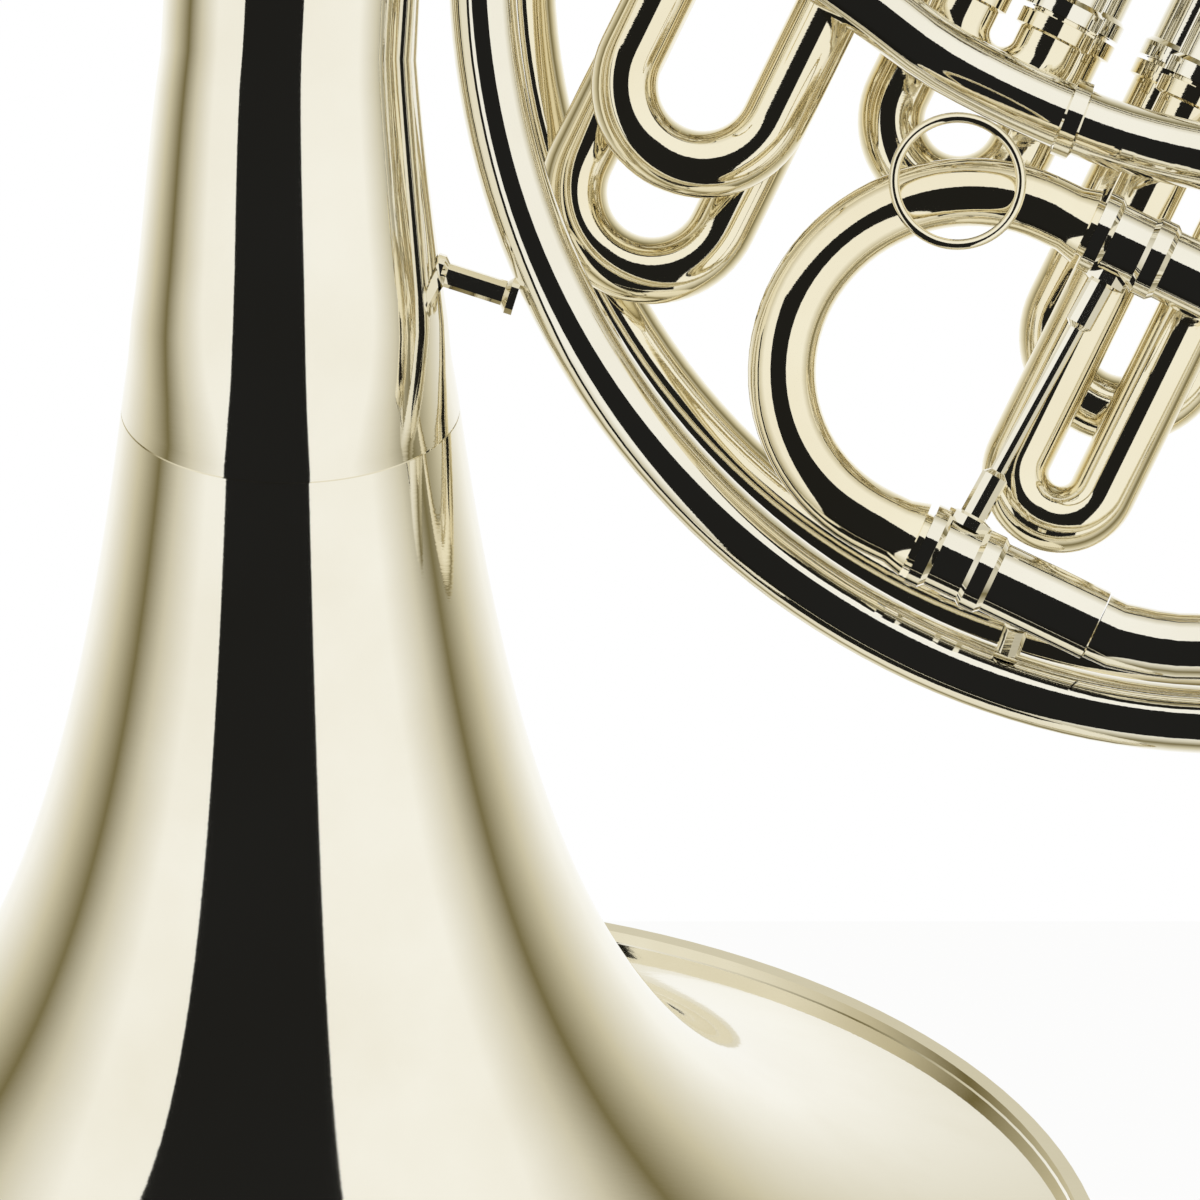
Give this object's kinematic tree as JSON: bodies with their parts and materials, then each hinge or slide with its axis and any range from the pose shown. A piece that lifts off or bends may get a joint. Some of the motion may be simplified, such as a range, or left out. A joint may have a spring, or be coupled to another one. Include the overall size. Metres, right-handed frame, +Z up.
{
  "type": "double french horn",
  "caption": "Double french horn with a flared bell, coiled tubing, rotary valves, sprung levers and pull-out slides.",
  "frame": {"origin": "centre of the circle that the body tubing follows", "axes": "+Z up, +X to the right and +Y away from the side that shows the main tuning slide"},
  "size_m": [0.5052, 0.2845, 0.5109],
  "materials": {
    "gold_lacquer": "polished and lacquered",
    "nickel_silver": "polished"
  },
  "bodies": {
    "root": {"bell_flare": "nickel_silver", "bell_rim_wire": "nickel_silver", "bell_tail": "nickel_silver", "outer_loop": "nickel_silver", "inner_loop": "gold_lacquer", "front_branch": "nickel_silver", "main_slide_sleeves": "nickel_silver", "tuning_branch": "gold_lacquer", "leadpipe": "nickel_silver", "mouthpiece_receiver": "gold_lacquer", "first_valve_casing": "gold_lacquer", "second_valve_casing": "gold_lacquer", "third_valve_casing": "gold_lacquer", "change_valve_casing": "gold_lacquer", "first_valve_cap": "nickel_silver", "second_valve_cap": "nickel_silver", "third_valve_cap": "nickel_silver", "change_valve_cap": "nickel_silver", "first_front_sleeves": "nickel_silver", "first_rear_sleeves": "nickel_silver", "second_front_sleeves": "nickel_silver", "second_rear_sleeves": "nickel_silver", "third_front_sleeves": "nickel_silver", "third_rear_sleeves": "nickel_silver", "lever_hinge_rod": "nickel_silver", "hinge_post_1": "gold_lacquer", "hinge_post_2": "gold_lacquer", "lever_plate": "gold_lacquer", "bell_brace": "nickel_silver", "tuning_brace": "nickel_silver", "finger_hook": "gold_lacquer"},
    "main_slide": {"main_tuning_bow": "gold_lacquer", "main_slide_pull_ring": "gold_lacquer"},
    "mouthpiece": {"mouthpiece": "nickel_silver"},
    "first_rotor": {"first_rotor": "nickel_silver", "first_stop_arm": "gold_lacquer"},
    "second_rotor": {"second_rotor": "nickel_silver", "second_stop_arm": "gold_lacquer"},
    "third_rotor": {"third_rotor": "nickel_silver", "third_stop_arm": "gold_lacquer"},
    "change_rotor": {"change_rotor": "nickel_silver", "change_stop_arm": "gold_lacquer"},
    "first_lever": {"first_lever": "nickel_silver"},
    "second_lever": {"second_lever": "nickel_silver"},
    "third_lever": {"third_lever": "nickel_silver"},
    "change_lever": {"change_lever": "nickel_silver"},
    "first_front_slide": {"first_front_slide": "gold_lacquer"},
    "first_rear_slide": {"first_rear_slide": "gold_lacquer"},
    "second_front_slide": {"second_front_slide": "gold_lacquer"},
    "second_rear_slide": {"second_rear_slide": "gold_lacquer"},
    "third_front_slide": {"third_front_slide": "gold_lacquer"},
    "third_rear_slide": {"third_rear_slide": "gold_lacquer"}
  },
  "joints": [
    {"name": "main_slide_pull", "type": "slide", "parent": "root", "child": "main_slide", "axis": [-0.9036, 0, 0.4284], "range_m": [0, 0.028]},
    {"name": "mouthpiece_pull", "type": "slide", "parent": "root", "child": "mouthpiece", "axis": [0.0797, 0, 0.9968], "range_m": [0, 0.03]},
    {"name": "first_lever_press", "type": "hinge", "parent": "root", "child": "first_lever", "pos_m": [-0.0488, -0.026, 0.07794], "axis": [-0.898, 0, 0.44], "range_deg": [0, 11], "stiffness_Nm_per_rad": 0.8, "springref_deg": -5.73},
    {"name": "second_lever_press", "type": "hinge", "parent": "root", "child": "second_lever", "pos_m": [-0.00686, -0.026, 0.05739], "axis": [-0.898, 0, 0.44], "range_deg": [0, 11], "stiffness_Nm_per_rad": 0.8, "springref_deg": -5.73},
    {"name": "third_lever_press", "type": "hinge", "parent": "root", "child": "third_lever", "pos_m": [0.03507, -0.026, 0.03684], "axis": [-0.898, 0, 0.44], "range_deg": [0, 11], "stiffness_Nm_per_rad": 0.8, "springref_deg": -5.73},
    {"name": "change_lever_press", "type": "hinge", "parent": "root", "child": "change_lever", "pos_m": [0.07701, -0.026, 0.0163], "axis": [-0.898, 0, 0.44], "range_deg": [0, 11], "stiffness_Nm_per_rad": 0.8, "springref_deg": -5.73},
    {"name": "first_rotor_turn", "type": "hinge", "parent": "root", "child": "first_rotor", "pos_m": [-0.062, 0, 0.051], "axis": [0, 1, 0], "range_deg": [0, 90]},
    {"name": "second_rotor_turn", "type": "hinge", "parent": "root", "child": "second_rotor", "pos_m": [-0.02006, 0, 0.03045], "axis": [0, 1, 0], "range_deg": [0, 90]},
    {"name": "third_rotor_turn", "type": "hinge", "parent": "root", "child": "third_rotor", "pos_m": [0.02187, 0, 0.0099], "axis": [0, 1, 0], "range_deg": [0, 90]},
    {"name": "change_rotor_turn", "type": "hinge", "parent": "root", "child": "change_rotor", "pos_m": [0.06381, 0, -0.01064], "axis": [0, 1, 0], "range_deg": [0, 90]},
    {"name": "first_front_pull", "type": "slide", "parent": "root", "child": "first_front_slide", "axis": [-0.44, 0, -0.898], "range_m": [0, 0.018]},
    {"name": "first_rear_pull", "type": "slide", "parent": "root", "child": "first_rear_slide", "axis": [-0.44, 0, -0.898], "range_m": [0, 0.018]},
    {"name": "second_front_pull", "type": "slide", "parent": "root", "child": "second_front_slide", "axis": [-0.44, 0, -0.898], "range_m": [0, 0.018]},
    {"name": "second_rear_pull", "type": "slide", "parent": "root", "child": "second_rear_slide", "axis": [-0.44, 0, -0.898], "range_m": [0, 0.018]},
    {"name": "third_front_pull", "type": "slide", "parent": "root", "child": "third_front_slide", "axis": [-0.44, 0, -0.898], "range_m": [0, 0.018]},
    {"name": "third_rear_pull", "type": "slide", "parent": "root", "child": "third_rear_slide", "axis": [-0.44, 0, -0.898], "range_m": [0, 0.018]}
  ],
  "couplings": [
    {"joint": "first_rotor_turn", "follows": "first_lever_press", "ratio": 8.1818},
    {"joint": "second_rotor_turn", "follows": "second_lever_press", "ratio": 8.1818},
    {"joint": "third_rotor_turn", "follows": "third_lever_press", "ratio": 8.1818},
    {"joint": "change_rotor_turn", "follows": "change_lever_press", "ratio": 8.1818}
  ]
}
